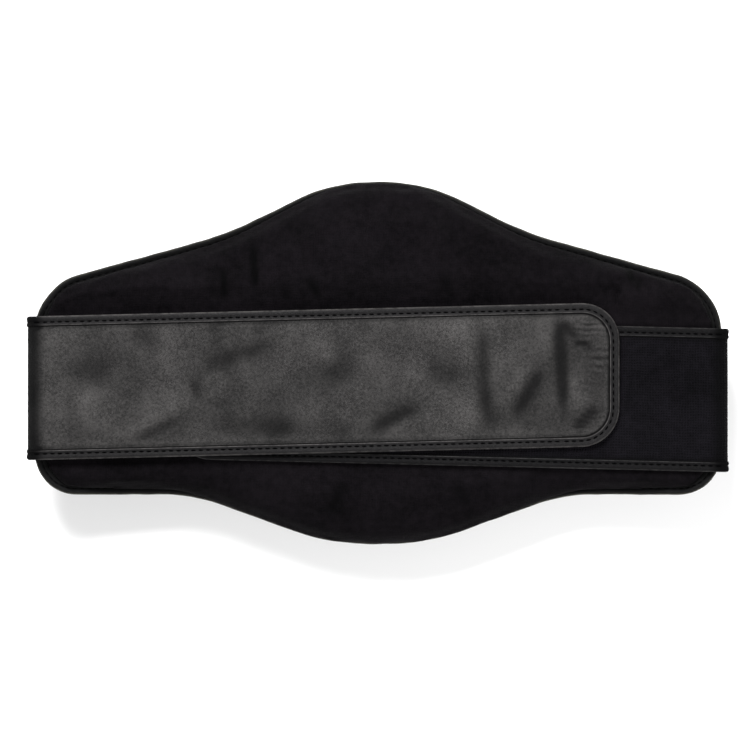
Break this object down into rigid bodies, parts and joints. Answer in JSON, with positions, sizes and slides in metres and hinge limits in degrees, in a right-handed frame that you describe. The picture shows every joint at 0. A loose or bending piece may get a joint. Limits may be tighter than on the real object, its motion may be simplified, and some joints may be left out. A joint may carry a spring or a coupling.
{
  "type": "trainer belly pad",
  "caption": "Padded waist shield with a leather strike face, fabric back and two wide hook-and-loop belt straps closed across the back.",
  "frame": {"origin": "centre of the strike face's level middle, on the surface that the pad lies on", "axes": "+X along the belt towards the loop strap's root, +Y towards the wearer's chest, +Z out of the back towards the wearer"},
  "size_m": [0.663, 0.35, 0.0872],
  "materials": {
    "strike_leather": "satin",
    "rim_leather": "satin",
    "back_fabric": "matte",
    "strap_leather": "satin",
    "edge_leather": "satin",
    "strap_lining": "matte",
    "webbing": "matte",
    "loop_pile": "matte",
    "hook_tape": "matte",
    "thread": "matte",
    "hard_foam": "matte",
    "soft_foam": "matte"
  },
  "bodies": {
    "pad": {"front_panel": "strike_leather", "side_gusset": "strike_leather", "front_piping": "strike_leather", "rim_binding": "rim_leather", "rim_thread": "thread", "back_panel": "back_fabric", "impact_foam": "hard_foam", "shock_foam": "soft_foam", "comfort_foam": "soft_foam", "left_anchor_patch": "webbing", "right_anchor_patch": "webbing", "long_strap_fold": "strap_leather", "loop_strap_fold": "loop_pile"},
    "long_strap": {"long_strap_face": "strap_leather", "long_strap_core": "webbing", "long_strap_lining": "strap_lining", "long_strap_binding": "edge_leather", "long_strap_thread": "thread", "hook_patch": "hook_tape"},
    "grab_tab": {"grab_tab_face": "strap_leather", "grab_tab_core": "webbing", "grab_tab_lining": "strap_lining", "grab_tab_binding": "edge_leather", "grab_tab_thread": "thread"},
    "loop_strap": {"loop_strap_face": "loop_pile", "loop_strap_core": "webbing", "loop_strap_lining": "strap_lining", "loop_strap_binding": "edge_leather", "loop_strap_thread": "thread"}
  },
  "joints": [
    {"name": "long_strap_swing", "type": "hinge", "parent": "pad", "child": "long_strap", "pos_m": [-0.3255, -0.0238, 0.0761], "axis": [0, -1, 0], "range_deg": [0, 180], "deforming": ["long_strap_fold"]},
    {"name": "grab_tab_lift", "type": "hinge", "parent": "long_strap", "child": "grab_tab", "pos_m": [0.174, -0.0118, 0.0873], "axis": [0, -1, 0], "range_deg": [0, 120]},
    {"name": "loop_strap_swing", "type": "hinge", "parent": "pad", "child": "loop_strap", "pos_m": [0.3255, -0.0352, 0.0733], "axis": [0, 1, 0], "range_deg": [0, 36], "deforming": ["loop_strap_fold"]}
  ],
  "couplings": [
    {"joint": "loop_strap_swing", "follows": "long_strap_swing", "ratio": 0.2}
  ]
}
